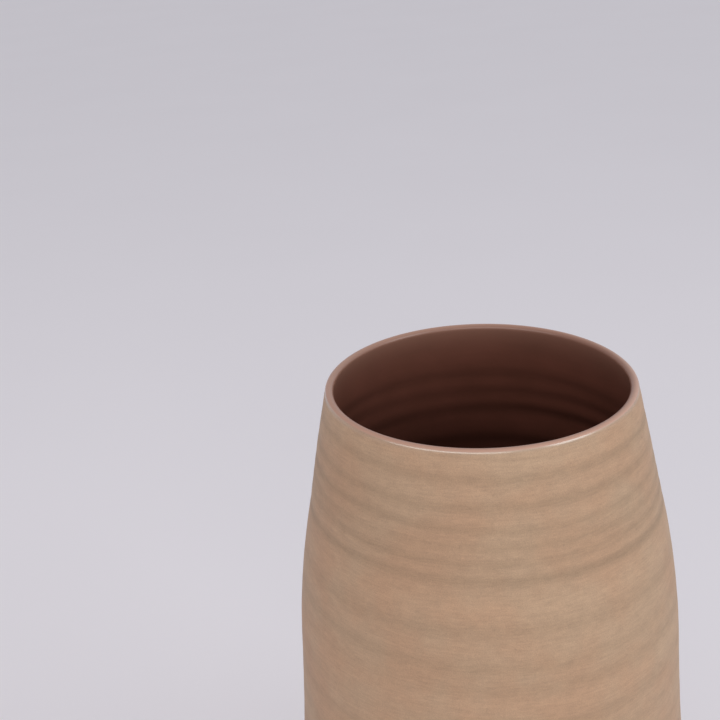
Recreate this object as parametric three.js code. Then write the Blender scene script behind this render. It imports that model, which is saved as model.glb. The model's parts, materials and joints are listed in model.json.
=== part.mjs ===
// A wheel-thrown stoneware vase, in millimetres, +Z up, origin at the centre of the foot's underside.
// It is built from its three layers: the fired clay pot, the matt sand glaze on its outside, and the
// brown gloss glaze that lines it and runs over the lip. Each layer is a closed solid of revolution.
import * as THREE from "three";

// Driving dimensions.
const HEIGHT = 340;
const MOUTH_RADIUS = 68; // outside of the lip
const SHOULDER_RADIUS = 86.5; // where the leaning upper wall turns into the upright body
const BELLY_RADIUS = 92.4; // the widest ring
const FOOT_RADIUS = 61; // outer edge of the flat that it stands on
const LIP_THICKNESS = 3.8;
const BASE_WALL = 7.5; // wall thickness at the foot; it thins evenly up to the lip
const FLOOR_HEIGHT = 11; // top of the glazed floor above the table
const FLOOR_CORNER = 20; // height of the hollow curve that joins the floor to the wall
const FOOT_RING_WIDTH = 9;
const FOOT_RECESS = 3.5; // depth of the turned hollow under the floor
const FOOT_CHAMFER = 1.6;
const GLAZE_LINE = 9; // the outer glaze stops this far above the table
const GLAZE = 0.6; // thickness of each glaze coat
const GAP = 0.1; // clearance between layers, so that no two solids share a face
const LIP_MEETING = THREE.MathUtils.degToRad(33); // where the glazes meet on the lip, above level
const LIP_PARTING = 0.3; // clearance between the two glazes there
const SEGMENTS = 48;

const LIP_RADIUS = LIP_THICKNESS / 2;
const LIP_BASE = HEIGHT - LIP_RADIUS; // height of the lip's centre

// The finished outside wall: radii at a few heights, joined by a smooth curve.
const wallPoints = [
  [FOOT_CHAMFER, FOOT_RADIUS + FOOT_CHAMFER + GLAZE + GAP],
  [12, FOOT_RADIUS + 7.8],
  [30, FOOT_RADIUS + 15.6],
  [60, BELLY_RADIUS - 7.2],
  [100, BELLY_RADIUS - 1.4],
  [140, BELLY_RADIUS],
  [183, BELLY_RADIUS - 2.7],
  [235, SHOULDER_RADIUS],
  [262, SHOULDER_RADIUS - 3.6],
  [288, SHOULDER_RADIUS - 8.6],
  [314, MOUTH_RADIUS + 5],
  [LIP_BASE, MOUTH_RADIUS],
];
const wallCurve = new THREE.CubicInterpolant(
  wallPoints.map(([z]) => z),
  wallPoints.map(([, r]) => r),
  1,
);
const outerRadius = (z) => wallCurve.evaluate(z)[0];
const wallThickness = (z) => THREE.MathUtils.lerp(BASE_WALL, LIP_THICKNESS, z / LIP_BASE);
const innerRadius = (z) => outerRadius(z) - wallThickness(z);

function spaced(from, to, count) {
  return Array.from({ length: count + 1 }, (_, i) => THREE.MathUtils.lerp(from, to, i / count));
}

// Up the outside, from the foot's chamfer and from the glaze line to the lip.
function outsideLine() {
  const heights = [FOOT_CHAMFER, ...spaced(GLAZE_LINE, LIP_BASE, 12)];
  return heights.map((z) => new THREE.Vector2(outerRadius(z), z));
}

// The half-round lip, between two angles: 0 is its outer side, a half turn its inner side.
function lipLine(fromAngle, toAngle, count) {
  const centre = MOUTH_RADIUS - LIP_RADIUS;
  return spaced(fromAngle, toAngle, count).map(
    (a) => new THREE.Vector2(centre + LIP_RADIUS * Math.cos(a), LIP_BASE + LIP_RADIUS * Math.sin(a)),
  );
}

// Down the inside, round the hollow corner and across the floor to the axis.
function insideLine() {
  const cornerTop = FLOOR_HEIGHT + FLOOR_CORNER;
  const wall = spaced(LIP_BASE, cornerTop, 11).map((z) => new THREE.Vector2(innerRadius(z), z));
  const slope = innerRadius(cornerTop + 1) - innerRadius(cornerTop);
  const meet = innerRadius(cornerTop) - slope * FLOOR_CORNER;
  const corner = new THREE.QuadraticBezierCurve(
    wall.at(-1),
    new THREE.Vector2(meet, FLOOR_HEIGHT),
    new THREE.Vector2(meet - FLOOR_CORNER, FLOOR_HEIGHT),
  );
  return [...wall, ...corner.getPoints(5).slice(1), new THREE.Vector2(0, FLOOR_HEIGHT)];
}

// The line that every layer is measured from, and the point on the lip where the two glazes part.
function surfaceLine() {
  const halfGap = LIP_PARTING / 2 / LIP_RADIUS; // as an angle on the lip
  const outerPart = [...outsideLine(), ...lipLine(0, LIP_MEETING - halfGap, 2).slice(1)];
  const innerPart = [...lipLine(LIP_MEETING + halfGap, Math.PI, 5), ...insideLine().slice(1)];
  return { surface: [...outerPart, ...innerPart], parting: outerPart.length };
}

// The line moved into the wall, square to the mean direction of the two stretches at each point.
function sunk(line, depth) {
  const stretches = line.slice(1).map((point, i) => point.clone().sub(line[i]).normalize());
  return line.map((point, i) => {
    const arriving = stretches[Math.max(i - 1, 0)];
    const leaving = stretches[Math.min(i, stretches.length - 1)];
    const along = arriving.clone().add(leaving).normalize();
    return new THREE.Vector2(point.x - depth * along.y, point.y + depth * along.x);
  });
}

// Turns a closed outline about the upright axis.
function turned(outline) {
  return new THREE.LatheGeometry(outline, SEGMENTS).rotateX(Math.PI / 2);
}

const { surface, parting } = surfaceLine();
const glazeBack = sunk(surface, GLAZE);

// The clay: the foot ring and the hollow inside it, then the wall under both glazes.
function clay() {
  const ringInner = FOOT_RADIUS - FOOT_RING_WIDTH;
  const foot = [
    new THREE.Vector2(0, FOOT_RECESS),
    new THREE.Vector2(ringInner - FOOT_RECESS, FOOT_RECESS),
    new THREE.Vector2(ringInner, 0),
    new THREE.Vector2(FOOT_RADIUS, 0),
  ];
  return turned([...foot, ...sunk(surface, GLAZE + GAP)]);
}

// The outside coat, from the glaze line to the lip: a ring, so its outline closes on itself.
function outsideCoat() {
  const front = surface.slice(1, parting);
  const back = glazeBack.slice(1, parting).reverse();
  return turned([...front, ...back, front[0].clone()]);
}

// The lining, from the floor to the lip: its outline starts and ends on the axis.
function lining() {
  const front = surface.slice(parting);
  const back = glazeBack.slice(parting).reverse();
  return turned([...back, ...front]);
}

function layer(name, geometry, finish) {
  const mesh = new THREE.Mesh(geometry, new THREE.MeshStandardMaterial(finish));
  mesh.name = name;
  return mesh;
}

const vase = new THREE.Group();
vase.add(
  layer("stoneware_body", clay(), { color: 0xa98a6c, roughness: 0.9, metalness: 0 }),
  layer("outer_glaze", outsideCoat(), { color: 0xb59a7d, roughness: 0.6, metalness: 0 }),
  layer("inner_glaze", lining(), { color: 0x4a2c22, roughness: 0.25, metalness: 0 }),
);

export default vase;
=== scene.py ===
# %% [markdown]
# # A wheel-thrown stoneware vase
# A thrown vase is one piece of clay that carries two glazes: here a matt sand glaze outside, and a dark
# brown gloss inside that runs up over the lip. The solid model already fixes how big each of the three
# layers is. This script makes their real surfaces: the ridges that the thrower's fingers leave, the small
# unevenness of handwork, the rolled edge of the glaze above the foot, and the finish of each material.

# %% Load the solid model and measure it
import json
import math

import bpy
import numpy as np
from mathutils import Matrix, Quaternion, Vector


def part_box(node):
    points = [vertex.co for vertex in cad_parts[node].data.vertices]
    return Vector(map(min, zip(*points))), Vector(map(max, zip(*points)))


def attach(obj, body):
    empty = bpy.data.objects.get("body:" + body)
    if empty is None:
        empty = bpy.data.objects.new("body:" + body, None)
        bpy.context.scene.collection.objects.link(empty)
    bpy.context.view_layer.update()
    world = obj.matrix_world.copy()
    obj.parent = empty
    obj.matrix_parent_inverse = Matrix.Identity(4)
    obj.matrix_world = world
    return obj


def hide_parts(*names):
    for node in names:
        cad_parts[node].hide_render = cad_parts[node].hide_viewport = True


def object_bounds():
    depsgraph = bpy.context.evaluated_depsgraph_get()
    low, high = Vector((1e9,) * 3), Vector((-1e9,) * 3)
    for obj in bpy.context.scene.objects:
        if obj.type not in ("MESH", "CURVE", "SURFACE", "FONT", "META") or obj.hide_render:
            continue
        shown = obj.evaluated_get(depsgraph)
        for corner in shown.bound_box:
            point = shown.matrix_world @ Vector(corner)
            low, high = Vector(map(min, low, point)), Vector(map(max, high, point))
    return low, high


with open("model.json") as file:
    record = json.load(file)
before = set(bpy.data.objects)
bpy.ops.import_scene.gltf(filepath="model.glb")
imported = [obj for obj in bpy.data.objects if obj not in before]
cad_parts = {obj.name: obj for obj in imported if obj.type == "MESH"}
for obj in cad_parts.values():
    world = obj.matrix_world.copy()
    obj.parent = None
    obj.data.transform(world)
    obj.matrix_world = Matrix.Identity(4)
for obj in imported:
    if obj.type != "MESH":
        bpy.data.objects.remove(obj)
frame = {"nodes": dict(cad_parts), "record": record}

MM = 0.001
cad_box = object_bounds()
HEIGHT = cad_box[1].z
print("vase", round(HEIGHT / MM), "mm tall,", round(2 * cad_box[1].x / MM), "mm across the belly")

# %% [markdown]
# ## The camera
# The vase is seen from a little above its mouth and close to, through a slightly long lens. It looks at the
# middle of the mouth, then turns a little to the left, so that the vase stands right of the centre, and
# leans by a degree or so, as a camera held in the hand does. Turning the camera, where shifting the lens
# would do the same, keeps the vase in the middle when it is looked at from other sides.

# %% Place the camera
CAMERA_REACH = 524 * MM  # from the middle of the mouth
CAMERA_RISE = math.radians(23.7)
LOOK_LEFT = math.radians(5.74)
LOOK_UP = math.radians(0.88)
LEAN = math.radians(-1.38)

mouth = Vector((0, 0, HEIGHT))
camera = bpy.data.objects.new("camera", bpy.data.cameras.new("camera"))
bpy.context.scene.collection.objects.link(camera)
bpy.context.scene.camera = camera
camera.data.lens = 60
camera.data.sensor_width = 36
camera.location = mouth + CAMERA_REACH * Vector((0, -math.cos(CAMERA_RISE), math.sin(CAMERA_RISE)))
look = (mouth - camera.location).to_track_quat("-Z", "Y")
aside = Vector((LOOK_UP, LOOK_LEFT, 0))
look = look @ Quaternion((0, 0, 1), LEAN) @ Quaternion(aside, aside.length)
camera.rotation_euler = look.to_euler()
print("camera", round(camera.location.z / MM), "mm above the table")

# %% [markdown]
# ## The wall's outline
# A lathe turns an outline about an axis, and so does a potter's wheel. The outline is read from the solid
# model itself, one point for each of its rings, so the fine surface and the solid can't disagree. Between
# the rings a smooth curve fills in: each stretch is a cubic that leaves one point and meets the next at
# the slope that its neighbours suggest.

# %% Read the outside rings and join them with a smooth curve
LIP_THICKNESS = 3.8 * MM
LIP_RADIUS = LIP_THICKNESS / 2
LIP_BASE = HEIGHT - LIP_RADIUS
GLAZE = 0.6 * MM
CLAY_DEPTH = 0.7 * MM  # the clay lies this far under the finished surface
RING_SLACK = 0.1 * MM  # for telling which ring a corner belongs to


def rings_of(node):
    """Heights and radii of the node's outward rings, taken down its front, from the foot up."""
    mesh = frame["nodes"][node].data
    rings = set()
    for face in mesh.polygons:
        if face.normal.xy.dot(face.center.xy) > 0:
            for corner in (mesh.vertices[i].co for i in face.vertices):
                if abs(corner.x) < RING_SLACK and corner.y < 0:
                    rings.add((round(corner.z, 6), round(-corner.y, 6)))
    return np.array(sorted(rings)).T


def smooth_through(places, values):
    """A function whose curve passes smoothly through the given points."""
    slopes = np.gradient(values, places)

    def curve(x):
        i = np.clip(np.searchsorted(places, x) - 1, 0, len(places) - 2)
        span = places[i + 1] - places[i]
        t = (x - places[i]) / span
        start = values[i] * (1 + 2 * t) + slopes[i] * span * t
        end = values[i + 1] * (3 - 2 * t) - slopes[i + 1] * span * (1 - t)
        return start * (1 - t) ** 2 + end * t**2

    return curve


glaze_heights, glaze_radii = rings_of("outer_glaze")
clay_heights, clay_radii = rings_of("stoneware_body")
on_wall = glaze_heights < LIP_BASE + RING_SLACK
FOOT_EDGE = clay_heights[1]  # top of the foot's rounded corner
wall_radius = smooth_through(
    np.append(FOOT_EDGE, glaze_heights[on_wall]),
    np.append(clay_radii[1] + CLAY_DEPTH, glaze_radii[on_wall]),
)
MOUTH_RADIUS = float(wall_radius(LIP_BASE))
GLAZE_LINE = glaze_heights[0]
print(on_wall.sum(), "rings; mouth", round(2 * MOUTH_RADIUS / MM), "mm across")

# %% [markdown]
# ## From foot to lip to floor
# One line runs over the whole finished surface: up the outside, over the round lip, down the inside, round
# the hollow corner and across the floor. At every point it also knows which way the surface faces, because
# ridges, glaze and clay are all measured square to it. A few short helpers make its stretches.

# %% The stretches of the surface line
WALL_AT_FOOT = 7.5 * MM
FLOOR_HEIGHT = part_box("inner_glaze")[0].z + GLAZE
FLOOR_CORNER = 20 * MM


def evenly(start, end, step):
    """Places from start to end, as near as may be to one step apart."""
    return np.linspace(start, end, 1 + max(1, round(abs(end - start) / step)))


def wall_thickness(height):
    return WALL_AT_FOOT + (LIP_THICKNESS - WALL_AT_FOOT) * height / LIP_BASE


def outside(start, step):
    """Radii and heights up the outside wall, to where the lip begins."""
    heights = evenly(start, LIP_BASE, step)
    return np.column_stack([wall_radius(heights), heights])


def lip(start, end, step):
    """Round the lip between two angles: 0 faces out, a quarter turn faces up, a half turn faces in."""
    tilt = evenly(start, end, step / LIP_RADIUS)
    radii = MOUTH_RADIUS - LIP_RADIUS + LIP_RADIUS * np.cos(tilt)
    return np.column_stack([radii, LIP_BASE + LIP_RADIUS * np.sin(tilt)])


def inside(step):
    """Down the inside wall, round the hollow corner and across the floor to the middle."""
    corner_top = FLOOR_HEIGHT + FLOOR_CORNER
    heights = evenly(LIP_BASE, corner_top, step)
    radii = wall_radius(heights) - wall_thickness(heights)
    slope = (radii[-2] - radii[-1]) / (heights[-2] - heights[-1])
    meet = radii[-1] - slope * FLOOR_CORNER
    bend_length = 1.5 * FLOOR_CORNER  # near enough, for spacing the points
    t = evenly(0, 1, step / bend_length)
    bend_radii = radii[-1] * (1 - t) ** 2 + meet * 2 * t * (1 - t) + (meet - FLOOR_CORNER) * t**2
    bend_heights = FLOOR_HEIGHT + FLOOR_CORNER * (1 - t) ** 2
    across = evenly(meet - FLOOR_CORNER, 0, step)
    wall = np.column_stack([radii, heights])
    bend = np.column_stack([bend_radii, bend_heights])
    floor = np.column_stack([across, np.full(len(across), FLOOR_HEIGHT)])
    return np.vstack([wall, bend[1:], floor[1:]])


def joined(*stretches):
    """Stretches of line end to end, without the doubled points where they meet."""
    return np.vstack([stretches[0]] + [s[1:] for s in stretches[1:]])


def directions(line):
    """Along the line, and the way that the surface faces, at each point: the clay lies on the left."""
    along = np.gradient(line, axis=0)
    along /= np.linalg.norm(along, axis=1)[:, None]
    return along, np.column_stack([along[:, 1], -along[:, 0]])


print("mouth to floor:", round((HEIGHT - FLOOR_HEIGHT) / MM), "mm deep")

# %% [markdown]
# ## The thrower's hand
# Fingers drawn up a spinning wall leave shallow grooves. Near the lip the hand moves slowly, and the
# grooves lie 6 to 11 mm apart and are firm. Further down they are broader and softer, about 15 mm apart,
# with a low ridge here and there. Inside, the knuckle leaves wider hollows. The uneven part of all this is
# a sum of smooth waves, drawn once from a seeded generator, so every run gives the same pot, and the clay
# and its glazes follow one another.

# %% Finger marks
rng = np.random.default_rng(7)
LIP_GROOVE = [3.6]  # this list and the next four are depths below the lip, in millimetres
FIRM_GROOVES = [12, 22.5, 32, 39, 45.5, 53.5]
SOFT_GROOVES = [75, 90, 100, 117, 130, 146]
RIDGES = [5.6, 64.7, 108]
INSIDE_GROOVES = [28, 36.5, 48, 66]
SOFT_PITCH = 15
SLANT = 1.3 * MM
SLANT_REACH = 70 * MM  # the slant dies away by about this depth
DRIFT = 0.5 * MM
DRIFT_PATCH = 60 * MM
UNEVEN_FIRMNESS = 0.3


def wander(size, count=6):
    """Draws a smooth uneven field round the pot, about -1 to 1, with patches of the given height."""
    around = rng.integers(0, 4, count)
    upward = rng.normal(size=count) / size
    phase = rng.uniform(0, 2 * math.pi, count)

    def field(turn, height):
        waves = (np.cos(a * turn + u * height + p) for a, u, p in zip(around, upward, phase))
        return sum(waves) / math.sqrt(count / 2)

    return field


def groove(place, width, cut, slant, drift):
    """Draws one groove, of its own firmness, that wanders a little. The first three are in millimetres."""
    return place * MM, width * MM, cut * MM, slant, drift, wander(DRIFT_PATCH), wander(DRIFT_PATCH)


def grooves(places, width, cut, slant=SLANT, drift=DRIFT):
    """One groove at each depth. A cut below nothing makes a ridge."""
    return [groove(place, width, cut, slant, drift) for place in places]


def relief(marks, turn, depth):
    """Height of the grooved surface above the plain wall."""
    total = 0
    sunk = np.cos(turn) * np.exp(-((depth / SLANT_REACH) ** 2))
    for place, width, cut, slant, drift, up_down, firm in marks:
        off = (depth - place - slant * sunk - drift * up_down(turn, depth)) / width
        total = total - cut * (1 + UNEVEN_FIRMNESS * firm(turn, depth)) * np.exp(-(off**2))
    return total


def carried_on(places, start, above_foot):
    """The places, and then one at every soft pitch from start to a little above the foot."""
    return places + list(np.arange(start, HEIGHT / MM - above_foot, SOFT_PITCH))


soft_places = carried_on(SOFT_GROOVES, start=SOFT_GROOVES[-1] + SOFT_PITCH, above_foot=25)
inside_places = carried_on(INSIDE_GROOVES, start=80, above_foot=30)
outside_marks = grooves(LIP_GROOVE, width=0.7, cut=0.04)
outside_marks += grooves(FIRM_GROOVES, width=2.3, cut=0.085)
outside_marks += grooves(soft_places, width=3.4, cut=0.04)
outside_marks += grooves(RIDGES, width=2.6, cut=-0.04)
inside_marks = grooves(inside_places, width=3.4, cut=0.2, slant=0)
print(len(outside_marks), "finger marks outside and", len(inside_marks), "inside")

# %% [markdown]
# ## A wall that isn't quite true
# No wheel runs quite true. The wall leans to one side at the mouth and to the other below the neck, it is
# a little oval, it swells at the shoulder and is drawn in at the mouth, and the rim dips on one side. All
# of this is under a millimetre, but without it the vase looks machined. It fades out towards the foot,
# which is turned true on the wheel.

# %% Wobble and dip
BOW = 0.28 * MM
BOW_TURNS_AT = 45 * MM  # this depth below the lip
BOW_TURNS_OVER = 15 * MM
OVAL = 0.15 * MM
OVAL_SIDE = 1.6  # radians
SWELLING = 0.15 * MM
SHOULDER_SWELL = 0.2 * MM
SHOULDER_DEPTH = 65 * MM
SHOULDER_REACH = 13 * MM
DRAWN_IN = 0.3 * MM
DRAWN_REACH = 25 * MM
TRUE_FOOT = 60 * MM
RIM_DIP = 0.85 * MM
DIP_REACH = 100 * MM
DIP_SIDE = math.radians(-45)  # counted from the +X side: this is the right of the front
swelling = wander(35 * MM)


def wobble(turn, height):
    """How far the whole wall stands out: it leans, is a little oval, swells, and draws in at the mouth."""
    depth = HEIGHT - height
    bow = BOW * np.tanh((depth - BOW_TURNS_AT) / BOW_TURNS_OVER) * np.cos(turn)
    oval = OVAL * np.cos(2 * turn + OVAL_SIDE)
    hand = SHOULDER_SWELL * np.exp(-(((depth - SHOULDER_DEPTH) / SHOULDER_REACH) ** 2))
    hand = hand - DRAWN_IN * np.exp(-((depth / DRAWN_REACH) ** 2))
    return (bow + oval + hand + SWELLING * swelling(turn, height)) * np.clip(height / TRUE_FOOT, 0, 1)


def rim_drop(turn, height):
    """How far the wall sinks: nothing at the shoulder, and the rim's dip at the lip."""
    near_rim = np.clip((height - (HEIGHT - DIP_REACH)) / DIP_REACH, 0, 1) ** 2
    return RIM_DIP * near_rim * (1 + np.cos(turn - DIP_SIDE)) / 2


print("the rim dips by", round(RIM_DIP / MM, 2), "mm")

# %% [markdown]
# ## Turning a line into a closed skin
# Each layer is a closed skin, and the two glazes are thin shells, as the real coats are. The rows of points
# go round the pot, a millimetre or less apart where they show, so that the ridges are real geometry and
# not a trick of the shading. A skin either closes on itself, as a ring does, or starts and ends on the
# axis. Values that the materials need, such as how near the lip a point lies, are stored on the mesh as
# attributes while they are at hand.

# %% Rows of points, and the mesh that joins them
AROUND = 192
NEAR_AXIS = 20 * MM  # the wobble fades out from here to the axis
SHARP_EDGE = math.radians(50)
CREST_UNIT = 0.12 * MM  # the materials read the relief in these units
turn = np.arange(AROUND) * 2 * math.pi / AROUND


def turned(line, stand_out=0, slide=0):
    """Rows of points round the pot, moved square to the surface and along it."""
    along, face = directions(line)
    off_axis = np.clip(line[:, :1] / NEAR_AXIS, 0, 1)
    radius = line[:, :1] + face[:, :1] * stand_out + along[:, :1] * slide
    radius = radius + off_axis * wobble(turn, line[:, 1:])
    height = line[:, 1:] + face[:, 1:] * stand_out + along[:, 1:] * slide - rim_drop(turn, line[:, 1:])
    return np.stack([radius * np.cos(turn), radius * np.sin(turn), height], axis=-1)


def per_corner(values, on_axis):
    """One value for each corner of the mesh: a row that lies on the axis has only one corner."""
    if not on_axis:
        return values.reshape(-1, *values.shape[2:])
    middle = values[1:-1].reshape(-1, *values.shape[2:])
    return np.concatenate([values[0, :1], middle, values[-1, :1]])


def skin_faces(count, on_axis):
    """Four-sided faces between neighbouring rows, with a fan of triangles at each end on the axis."""
    if not on_axis:
        row = np.arange(count * AROUND).reshape(count, AROUND)
        row = np.vstack([row, row[:1]])
    else:
        row = 1 + np.arange((count - 2) * AROUND).reshape(count - 2, AROUND)
    beside = np.roll(row, -1, axis=1)
    faces = np.stack([row[:-1], beside[:-1], beside[1:], row[1:]], axis=-1).reshape(-1, 4).tolist()
    if on_axis:
        last = 1 + row[-1, -1]
        faces += [(0, b, a) for a, b in zip(row[0], beside[0])]
        faces += [(a, b, last) for a, b in zip(row[-1], beside[-1])]
    return faces


def skin(name, rows, on_axis, material, node, slot, **painted):
    """A closed piece in the place of a solid's node. painted holds values for its material to read."""
    mesh = bpy.data.meshes.new(name)
    mesh.from_pydata(per_corner(rows, on_axis).tolist(), [], skin_faces(len(rows), on_axis))
    mesh.shade_smooth()
    mesh.set_sharp_from_angle(angle=SHARP_EDGE)
    for label, values in painted.items():
        values = np.broadcast_to(values, rows.shape[:2])
        layer = mesh.attributes.new(label, "FLOAT", "POINT")
        layer.data.foreach_set("value", per_corner(values, on_axis).astype(np.float32))
    mesh.materials.append(material)
    piece = bpy.data.objects.new(name, mesh)
    bpy.context.scene.collection.objects.link(piece)
    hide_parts(node)
    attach(piece, "root")
    print(name, len(mesh.polygons), "faces")


# %% [markdown]
# ## Shader maths in plain Python
# A finish is worked out much as a sum is: take the grain, subtract its middle, add a share of the ridges.
# The class Wire wraps one value in the node tree, so that such a sum can be written with +, - and *, and
# adds the Math nodes by itself.

# %% Wire
class Wire:
    """A value in a finish's node tree. Sums and products of wires add Math nodes."""

    def __init__(self, finish, socket):
        self.finish = finish
        self.socket = socket

    def maths(self, operation, a, b):
        return self.finish.node("ShaderNodeMath", {"operation": operation}, {0: a, 1: b})

    def __add__(self, other):
        return self.maths("ADD", self, other)

    def __sub__(self, other):
        return self.maths("SUBTRACT", self, other)

    def __rsub__(self, other):
        return self.maths("SUBTRACT", other, self)

    def __mul__(self, other):
        return self.maths("MULTIPLY", self, other)

    __radd__ = __add__
    __rmul__ = __mul__


print("sums of wires ready")

# %% [markdown]
# ## One material, one Finish
# Finish holds one material. Every node is added by one method, node, which takes the node's type, its
# settings and its sockets. The shorter methods only save words: a noise of a given size, a soft step, a
# blend of two paints, bumps of a given height. Paints are given as on a paint chart.

# %% Finish
MIX_A = 6  # a colour Mix node's sockets, by number, because its names aren't unique
MIX_B = 7
MIX_RESULT = 2


class Finish:
    """A new material, with one method that adds nodes and a few that save words."""

    def __init__(self, name):
        self.material = bpy.data.materials.new(name)
        self.material.use_nodes = True
        self.tree = self.material.node_tree
        self.tree.nodes.clear()
        self.place = self.node("ShaderNodeTexCoord", {}, {}, "Object")

    def node(self, kind, settings, sockets, output=0):
        """Adds a node, makes its settings, sets or links its sockets, and returns an output if it has one."""
        made = self.tree.nodes.new(kind)
        for name, value in settings.items():
            setattr(made, name, value)
        for name, value in sockets.items():
            if isinstance(value, Wire):
                self.tree.links.new(value.socket, made.inputs[name])
            else:
                made.inputs[name].default_value = value
        return Wire(self, made.outputs[output]) if made.outputs else None

    def painted(self, label):
        """A value that was stored on the mesh."""
        return self.node("ShaderNodeAttribute", {"attribute_name": label}, {}, "Fac")

    def stretched(self, across, upward):
        """The place in the object, scaled so that a texture is drawn out sideways or upwards."""
        scale = (across, across, upward)
        return self.node("ShaderNodeVectorMath", {"operation": "MULTIPLY"}, {0: self.place, 1: scale})

    def noise(self, size, detail=2, where=None):
        """Cloudy noise from 0 to 1, with patches of about the given size."""
        sockets = {"Vector": where or self.place, "Scale": 1 / size, "Detail": detail}
        return self.node("ShaderNodeTexNoise", {}, sockets)

    def fade(self, value, low, high):
        """0 below low, 1 above high, and a smooth step between."""
        settings = {"interpolation_type": "SMOOTHSTEP"}
        sockets = {"Value": value, "From Min": low, "From Max": high}
        return self.node("ShaderNodeMapRange", settings, sockets)

    def blend(self, share, a, b):
        """Colour a where share is 0 and colour b where it is 1."""
        sockets = {0: share, MIX_A: a, MIX_B: b}
        return self.node("ShaderNodeMix", {"data_type": "RGBA"}, sockets, MIX_RESULT)

    def lightened(self, colour, factor):
        """The colour times a value near 1."""
        colour = colour if isinstance(colour, Wire) else colour[:3]  # a vector has no fourth part
        return self.node("ShaderNodeVectorMath", {"operation": "SCALE"}, {0: colour, "Scale": factor})

    def bumps(self, height, depth):
        """A normal for bumps that stand out by depth where height is 1."""
        return self.node("ShaderNodeBump", {}, {"Height": height, "Distance": depth})

    def surface(self, **sockets):
        """Ends the tree in one Principled shader. Socket names are written with _ for a space."""
        named = {name.replace("_", " "): value for name, value in sockets.items()}
        shader = self.node("ShaderNodeBsdfPrincipled", {}, named)
        self.node("ShaderNodeOutputMaterial", {}, {"Surface": shader})
        return self.material


def paint(red, green, blue):
    """A colour from its parts out of 255, as a paint chart gives them."""
    parts = (((c / 255 + 0.055) / 1.055) ** 2.4 for c in (red, green, blue))
    return (*parts, 1)


print("mid grey paint holds", round(paint(128, 128, 128)[0], 2), "of each colour")

# %% [markdown]
# ## The sand glaze
# A matt glaze like this one is full of tiny crystals, so it scatters light softly and shows a fine grain. It
# runs off the crests of the ridges and gathers in the grooves, where it looks a little greener and darker;
# the darker grooves and lighter crests are also painted shade and light of the rings. It breaks to a
# pinkish brown where it thins out at the lip. There it also melts into the brown glaze and turns glassy,
# which a clear coat over the matt glaze shows. Fine level lines are left by the rib that smoothed the clay,
# so one noise is drawn out sideways.

# %% Mix the sand glaze
def sand_glaze():
    finish = Finish("sand_glaze")
    cloud = finish.fade(finish.noise(30 * MM, 3), 0.35, 0.65)
    mottle = finish.noise(4 * MM, 2)
    level_lines = finish.noise(0.9 * MM, 2, finish.stretched(0.12, 1))
    grain = finish.noise(0.4 * MM, 2)
    crest = finish.painted("crest")
    near_lip = finish.painted("near_lip")
    speck = finish.fade(finish.noise(1.3 * MM, 0), 0.77, 0.83)

    sand = finish.blend(cloud, paint(175, 140, 110), paint(175, 145, 116))
    # The grooves turn darker and greener and the crests lighter: partly glaze that gathers in the grooves,
    # partly painted shade and light of the rings.
    sand = finish.blend(crest * -0.4, sand, paint(150, 124, 95))
    tone = 1 + 0.11 * crest + 0.58 * (grain - 0.5) + 0.3 * (level_lines - 0.5) + 0.16 * (mottle - 0.5)
    thin = finish.fade(near_lip, 0.8, 1)
    colour = finish.blend(thin, finish.lightened(sand, tone - 0.08 * speck), paint(184, 148, 124))
    height = (grain * 0.5 + level_lines) * (1 - 0.9 * near_lip)
    return finish.surface(
        Base_Color=colour,
        Roughness=0.56 + 0.12 * (grain - 0.5) * (1 - near_lip) - 0.26 * near_lip,
        Coat_Weight=near_lip,
        Coat_Roughness=0.2,
        Coat_IOR=1.8,
        Normal=finish.bumps(height, 0.05 * MM),
    )


# %% [markdown]
# ## The brown gloss
# The lining is a glassy iron glaze: nearly black where it lies thick, redder where it is thin over a
# ridge, and a thin pinkish brown where it is pulled over the lip. Its ridges are also lighter and its grooves
# darker as painted light and shade of the rings, and it is lighter near the mouth and darker further down
# the wall. Its gloss does most of the work: the dark wall shows the bright room by reflection.

# %% Mix the brown gloss
def brown_gloss():
    finish = Finish("brown_gloss")
    # This value is 1 on the lip, where the lining is pinkish brown, and falls slowly down the wall: the
    # lining is lighter near the mouth and darker further down.
    thin = finish.painted("thin")
    crest = finish.painted("crest")
    cloud = finish.noise(14 * MM, 3)
    streak = finish.noise(2.5 * MM, 2, finish.stretched(0.1, 1))
    grain = finish.noise(0.6 * MM, 2)

    brown = finish.blend(cloud, paint(97, 58, 46), paint(111, 66, 54))
    # The ridges are lighter and the grooves darker: partly the glaze thin over the ridges, partly painted
    # light and shade of the rings.
    brown = finish.lightened(brown, 1.08 + 0.25 * crest + 0.2 * (streak - 0.5))
    lip_brown = finish.lightened(paint(190, 148, 127), 1 + 0.1 * (grain - 0.5))
    return finish.surface(
        Base_Color=finish.blend(thin, brown, lip_brown),
        Roughness=0.3 + 0.03 * (cloud - 0.5),
        Normal=finish.bumps(grain, 0.006 * MM),
    )


# %% [markdown]
# ## The bare clay
# The foot is left unglazed, or the pot would fuse to the kiln shelf. Fired stoneware is a toasted buff, with
# pale and rusty grains of grog, and is dry to the eye. Close to the glaze it blushes orange.

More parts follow.
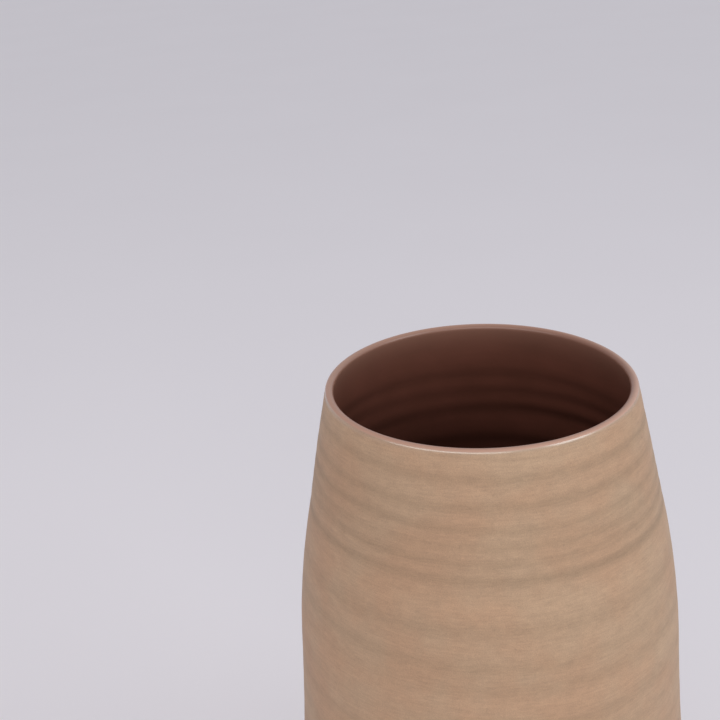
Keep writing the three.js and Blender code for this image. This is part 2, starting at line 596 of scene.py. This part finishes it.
# %% Mix the bare clay
def bare_clay():
    finish = Finish("bare_clay")
    cloud = finish.noise(20 * MM, 3)
    grain = finish.noise(0.7 * MM, 3)
    blush = finish.painted("blush")
    rust = finish.fade(finish.noise(1.6 * MM, 1), 0.66, 0.74)
    pale = finish.fade(finish.noise(1.2 * MM, 1, finish.stretched(1.3, 1.1)), 0.68, 0.74)

    clay = finish.blend(cloud, paint(176, 141, 108), paint(192, 158, 126))
    clay = finish.blend(blush * 0.6, clay, paint(184, 122, 82))
    clay = finish.blend(rust * 0.7, clay, paint(110, 72, 48))
    clay = finish.blend(pale * 0.6, clay, paint(224, 206, 180))
    return finish.surface(
        Base_Color=finish.lightened(clay, 1 + 0.25 * (grain - 0.5)),
        Roughness=0.86 + 0.1 * (grain - 0.5),
        Normal=finish.bumps(grain, 0.12 * MM),
    )


# %% [markdown]
# ## The outer coat
# The coat starts above the foot with a rolled edge, where the wet glaze drew together, and ends on the
# outer side of the lip, where the brown glaze takes over. Neither edge is quite level, because the one is
# wiped and the other poured by hand. The wet leather that finished the lip left a narrow flat on its outer
# side, which catches the light as one thin line.

# %% Make the outer coat
FINE_STEP = 0.85 * MM
EDGE_STEP = 0.14 * MM
HIDDEN_STEP = 5 * MM
HIDDEN_LIP_STEP = 3 * EDGE_STEP
MEETING = math.radians(42)  # where the glazes meet on the lip, above level
EDGE_ZONE = 3 * MM
FOOT_WAVE_REACH = 5 * MM
MEETING_WAVE_REACH = 1 * MM
ROUNDING = 0.8 * MM
ROLL_HEIGHT = 0.3 * MM
ROLL_MIDDLE = 1.3 * MM
ROLL_REACH = 1.1 * MM
GLASSY_REACH = 1.2 * MM
EDGE_WAVES = 8
LIP_FLAT = [0.97]  # depth below the top of the lip, in millimetres
foot_edge_wave = wander(1, EDGE_WAVES)(turn, 0) * 0.5 * MM
meeting_wave = wander(1, EDGE_WAVES)(turn, 0) * 0.12 * MM
outside_marks += grooves(LIP_FLAT, width=0.42, cut=0.035, slant=0, drift=0.06 * MM)


def distance_along(line):
    """How far each point is from the line's start, as a column."""
    steps = np.linalg.norm(np.diff(line, axis=0), axis=1)
    return np.concatenate([[0], np.cumsum(steps)])[:, None]


def rolled_edge(distance):
    """Thickness of the coat near its lower edge: it rounds up from nothing, swells, and evens out."""
    rounding = np.sqrt(1 - (1 - np.clip(distance / ROUNDING, 0, 1)) ** 2)
    swell = ROLL_HEIGHT * np.exp(-(((distance - ROLL_MIDDLE) / ROLL_REACH) ** 2))
    return (GLAZE + swell) * rounding


def coat_line(wall_step, lip_step):
    lower = outside(GLAZE_LINE, wall_step)
    low_end = lower[:, 1] < GLAZE_LINE + EDGE_ZONE
    heights = evenly(GLAZE_LINE, GLAZE_LINE + EDGE_ZONE, min(wall_step, EDGE_STEP))
    edge = np.column_stack([wall_radius(heights), heights])
    return joined(edge, lower[~low_end], lip(0, MEETING, lip_step))


def outer_relief(line):
    return relief(outside_marks, turn, HEIGHT - line[:, 1:])


def uneven_edges(up):
    """How far the coat's two edges slide up or down the wall: up is the distance from the lower one."""
    at_foot = foot_edge_wave * np.exp(-up / FOOT_WAVE_REACH)
    return at_foot + meeting_wave * np.exp(-(up[-1] - up) / MEETING_WAVE_REACH)


def outer_coat():
    front = coat_line(FINE_STEP, EDGE_STEP)
    up = distance_along(front)
    marks = outer_relief(front)
    front_rows = turned(front, marks + rolled_edge(up) - GLAZE, uneven_edges(up))
    near_lip = np.exp(-(((up[-1] - up - meeting_wave) / GLASSY_REACH) ** 2))

    back = coat_line(HIDDEN_STEP, HIDDEN_LIP_STEP)
    back_edges = uneven_edges(distance_along(back))
    back_rows = turned(back, outer_relief(back) - CLAY_DEPTH, back_edges)[::-1]
    hidden = np.zeros(back_rows.shape[:2])
    skin(
        "outer_coat", np.concatenate([front_rows, back_rows]), False,
        sand_glaze(), "outer_glaze", "sand_glaze",
        crest=np.concatenate([marks / CREST_UNIT, hidden]),
        near_lip=np.concatenate([near_lip, hidden]),
    )


outer_coat()

# %% [markdown]
# ## The brown lining
# The lining was poured in, swilled round and poured out again, so it covers the floor and the whole inside,
# and is pulled over the lip to meet the sand glaze. On the floor the fingers left a spiral, where the
# thrower opened the clay from the middle outwards.

# %% Make the lining
INSIDE_STEP = 1 * MM
FLOOR_SPIRAL_PITCH = 8 * MM
FLOOR_SPIRAL_CUT = 0.25 * MM
SPIRAL_FADE = 6 * MM
LIP_SHARE = 0.4
LIP_THIN = 2.6 * MM
# How far down the wall the lining stays lighter near the mouth.
WALL_FADE = 7.5 * MM


def floor_spiral(line):
    """The spiral on the floor: it starts at the middle and dies away as the wall begins."""
    radius = line[:, :1]
    on_floor = 1 - np.clip((line[:, 1:] - FLOOR_HEIGHT) / SPIRAL_FADE, 0, 1)
    begins = np.clip(radius / FLOOR_SPIRAL_PITCH, 0, 1)  # nothing at the very middle
    wave = np.cos(2 * math.pi * radius / FLOOR_SPIRAL_PITCH - turn)
    return FLOOR_SPIRAL_CUT * on_floor * begins * wave


def lining_relief(line):
    return relief(inside_marks, turn, HEIGHT - line[:, 1:]) + floor_spiral(line)


def lining_line(wall_step, lip_step):
    return joined(lip(MEETING, math.pi, lip_step), inside(wall_step))


def uneven_start(down):
    return meeting_wave * np.exp(-down / MEETING_WAVE_REACH)


def thinness(down):
    """1 where the glaze is pulled over the lip. It falls fast on the lip, and then slowly down the wall."""
    on_lip = LIP_SHARE * np.exp(-((down / LIP_THIN) ** 2))
    # The slow part makes the lining lighter near the mouth and darker further down the wall.
    return on_lip + (1 - LIP_SHARE) * np.exp(-down / WALL_FADE) + 0 * turn


def lining():
    front = lining_line(INSIDE_STEP, EDGE_STEP)
    down = distance_along(front)
    marks = lining_relief(front)
    front_rows = turned(front, marks, uneven_start(down))

    back = lining_line(HIDDEN_STEP, HIDDEN_LIP_STEP)
    back_start = uneven_start(distance_along(back))
    back_rows = turned(back, lining_relief(back) - CLAY_DEPTH, back_start)[::-1]
    hidden = np.zeros(back_rows.shape[:2])
    skin(
        "brown_lining", np.concatenate([back_rows, front_rows]), True,
        brown_gloss(), "inner_glaze", "brown_glaze",
        crest=np.concatenate([hidden, marks / CREST_UNIT]),
        thin=np.concatenate([hidden, thinness(down)]),
    )


lining()

# %% [markdown]
# ## The clay under the glaze
# Almost all of the clay is hidden, but it is the pot. What shows is the foot: once the clay is leather hard
# the pot goes back on the wheel upside down, and a turning tool cuts the ring that it stands on, the
# shallow hollow inside it and fine circles in both. The ring's corners are eased so that they don't chip.

# %% Make the clay body
RING_WIDTH = 9 * MM
RECESS = 3.5 * MM
RING_EASE = 1.2 * MM
FOOT_STEP = 0.6 * MM
CLAY_STEP = 3 * MM
CLAY_LIP_STEP = 0.5 * MM
TURNING_PITCH = 2.6 * MM
TURNING_CUT = 0.07 * MM
CLEAR_OF_TABLE = 0.5 * MM  # the circles are worn off where the ring stands
BLUSH_REACH = 3 * MM
BLUSH_RADIUS = 60 * MM  # only the outer side of the ring is near enough to the glaze to blush


def eased(corners, ease, steps=6):
    """A line through straight stretches, with each inner corner rounded off."""
    line = [corners[0]]
    for before, corner, after in zip(corners, corners[1:], corners[2:]):
        start = corner + (before - corner) * ease / np.linalg.norm(before - corner)
        end = corner + (after - corner) * ease / np.linalg.norm(after - corner)
        for t in np.linspace(0, 1, steps):
            line.append(start * (1 - t) ** 2 + corner * 2 * t * (1 - t) + end * t**2)
    return np.array(line + [corners[-1]])


def finer(line, step):
    """The same line with points no further apart than a step."""
    stretches = []
    for start, end in zip(line, line[1:]):
        share = evenly(0, 1, step / max(np.linalg.norm(end - start), step))[:, None]
        stretches.append(start + (end - start) * share)
    return joined(*stretches)


def foot():
    """From the middle of the base, out under the floor, over the foot ring and up its outer corner."""
    ring_middle = frame["record"]["mounts"][0]["pos_m"][0]
    ring_in = ring_middle - RING_WIDTH / 2
    ring_out = ring_middle + RING_WIDTH / 2
    corners = [
        (0, RECESS),
        (ring_in - RECESS, RECESS),
        (ring_in, 0),
        (ring_out, 0),
        (clay_radii[1], FOOT_EDGE),
        (wall_radius(GLAZE_LINE) - CLAY_DEPTH, GLAZE_LINE),
    ]
    return finer(eased(np.array(corners, float), RING_EASE), FOOT_STEP)


def clay_body():
    under = foot()
    wall = outside(GLAZE_LINE, CLAY_STEP)
    above = joined(wall, lip(0, math.pi, CLAY_LIP_STEP), inside(CLAY_STEP))
    circles = TURNING_CUT * np.cos(2 * math.pi * under[:, :1] / TURNING_PITCH)
    circles = circles * (under[:, 1:] > CLEAR_OF_TABLE)
    on_outside = distance_along(above) < distance_along(wall)[-1]
    marks = np.where(on_outside, outer_relief(above), lining_relief(above))
    foot_rows = turned(under, circles + 0 * turn)[:-1]
    wall_rows = turned(above, marks - CLAY_DEPTH)

    to_glaze = GLAZE_LINE - under[:-1, 1:]
    blush = np.exp(-((to_glaze / BLUSH_REACH) ** 2)) * (under[:-1, :1] > BLUSH_RADIUS)
    skin(
        "clay_body", np.concatenate([foot_rows, wall_rows]), True,
        bare_clay(), "stoneware_body", "fired_clay",
        blush=np.concatenate([blush, np.ones((len(above), 1))]),
    )


clay_body()

# %% [markdown]
# ## The floor
# A pale, matt floor runs out to the horizon on all sides, so the vase can be looked at from anywhere. It is
# not part of the vase.

# %% Lay the floor
FLOOR_HALF = 12  # metres


def pale_floor():
    finish = Finish("pale_floor")
    cloud = finish.noise(300 * MM, 3)
    grain = finish.noise(3 * MM, 2)
    return finish.surface(
        Base_Color=finish.blend(cloud, paint(241, 235, 238), paint(244, 238, 241)),
        Roughness=0.8 + 0.1 * (grain - 0.5),
        Normal=finish.bumps(grain, 0.02 * MM),
    )


def add_floor():
    mesh = bpy.data.meshes.new("floor")
    sides = ((-1, -1), (1, -1), (1, 1), (-1, 1))
    corners = [(FLOOR_HALF * x, FLOOR_HALF * y, 0) for x, y in sides]
    mesh.from_pydata(corners, [], [(0, 1, 2, 3)])
    mesh.materials.append(pale_floor())
    floor = bpy.data.objects.new("floor", mesh)
    bpy.context.scene.collection.objects.link(floor)


add_floor()
print("floor", 2 * FLOOR_HALF, "m across")

# %% [markdown]
# ## Two soft lights
# A window to the right models the form. A long narrow strip in front draws a thin bright line along the
# lip, because its middle lies where the flat on the lip sends the camera's view.

# %% Hang the lights
LIGHT_DISTANCE = 1.6


def add_panel(name, azimuth, rise, width, height, power, colour):
    """A soft light that faces the vase. Azimuth 0 is the camera's side and 90 is its right."""
    light = bpy.data.lights.new(name, "AREA")
    light.shape = "RECTANGLE"
    light.size = width
    light.size_y = height
    light.energy = power
    light.color = colour
    panel = bpy.data.objects.new(name, light)
    bpy.context.scene.collection.objects.link(panel)
    around = math.radians(azimuth)
    up = math.radians(rise)
    way = Vector((math.sin(around) * math.cos(up), -math.cos(around) * math.cos(up), math.sin(up)))
    panel.location = Vector((0, 0, HEIGHT / 2)) + LIGHT_DISTANCE * way
    panel.rotation_euler = (-way).to_track_quat("-Z", "Y").to_euler()
    print(name, "at", azimuth, "degrees round and", rise, "up")


add_panel("window", azimuth=64, rise=28, width=0.8, height=0.7, power=5.5, colour=(0.94, 0.98, 1.0))
add_panel("strip", azimuth=-22, rise=31, width=2.6, height=0.25, power=9, colour=(1.0, 0.98, 0.96))

# %% [markdown]
# ## The room
# A pale room stands all round, darker on the left and cooler on the right. Low down it fades into the
# floor's own colour, so no hard horizon stands behind the vase. The glossy lining needs the room, because a
# dark shiny surface shows what it reflects.

# %% Light the room
LOW_REACH = 0.3  # how high the floor's colour reaches, as the sine of the rise


def add_room(left, right, low):
    """Pale light from everywhere: one colour on the left, one on the right and one near the floor."""
    world = bpy.data.worlds.new("room")
    bpy.context.scene.world = world
    world.use_nodes = True
    tree = world.node_tree
    way = tree.nodes.new("ShaderNodeTexCoord")
    parts = tree.nodes.new("ShaderNodeSeparateXYZ")
    tree.links.new(way.outputs["Generated"], parts.inputs["Vector"])

    def graded(axis, start, end, shape, a, b):
        """A colour that goes from a to b as the way's part along the axis goes from start to end."""
        share = tree.nodes.new("ShaderNodeMapRange")
        share.interpolation_type = shape
        share.inputs["From Min"].default_value = start
        share.inputs["From Max"].default_value = end
        mix = tree.nodes.new("ShaderNodeMix")
        mix.data_type = "RGBA"
        tree.links.new(parts.outputs[axis], share.inputs["Value"])
        tree.links.new(share.outputs["Result"], mix.inputs[0])
        for place, colour in ((MIX_A, a), (MIX_B, b)):
            if isinstance(colour, tuple):
                mix.inputs[place].default_value = (*colour, 1)
            else:
                tree.links.new(colour, mix.inputs[place])
        return mix.outputs[MIX_RESULT]

    sides = graded("X", -1, 1, "LINEAR", left, right)
    whole = graded("Z", 0, LOW_REACH, "SMOOTHSTEP", low, sides)
    tree.links.new(whole, tree.nodes["Background"].inputs["Color"])


add_room(left=(0.30, 0.28, 0.31), right=(0.91, 0.96, 1.0), low=(0.60, 0.58, 0.63))
bpy.context.scene.view_settings.view_transform = "Standard"
print("lights:", len(bpy.data.lights), "and the room")
